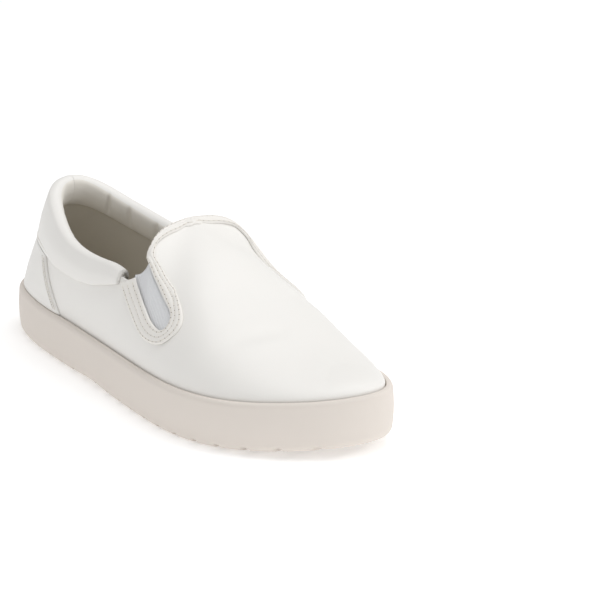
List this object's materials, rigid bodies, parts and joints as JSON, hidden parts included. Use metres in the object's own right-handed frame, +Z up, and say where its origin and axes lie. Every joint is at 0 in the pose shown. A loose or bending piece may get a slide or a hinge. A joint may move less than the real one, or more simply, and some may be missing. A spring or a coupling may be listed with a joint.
{
  "type": "slip-on sneaker",
  "caption": "Right slip-on sneaker: smooth leather upper, padded collar, elastic side insets in stitched bindings, plain rubber cupsole.",
  "frame": {"origin": "middle of the shoe's box in plan, on the ground plane the sole stands on", "axes": "+X to the toe, +Y to the inner side of the right foot, +Z up out of the shoe"},
  "size_m": [0.291, 0.1096, 0.0901],
  "materials": {
    "sole_rubber": "matt",
    "lining": "matt",
    "white_leather": "soft sheen",
    "elastic": "matt ribbed"
  },
  "bodies": {
    "root": {"cupsole": "sole_rubber", "footbed": "lining", "upper": "white_leather", "heel_counter": "white_leather", "collar": "white_leather", "binding": "white_leather", "gore_lateral": "elastic", "gore_medial": "elastic"}
  },
  "joints": []
}
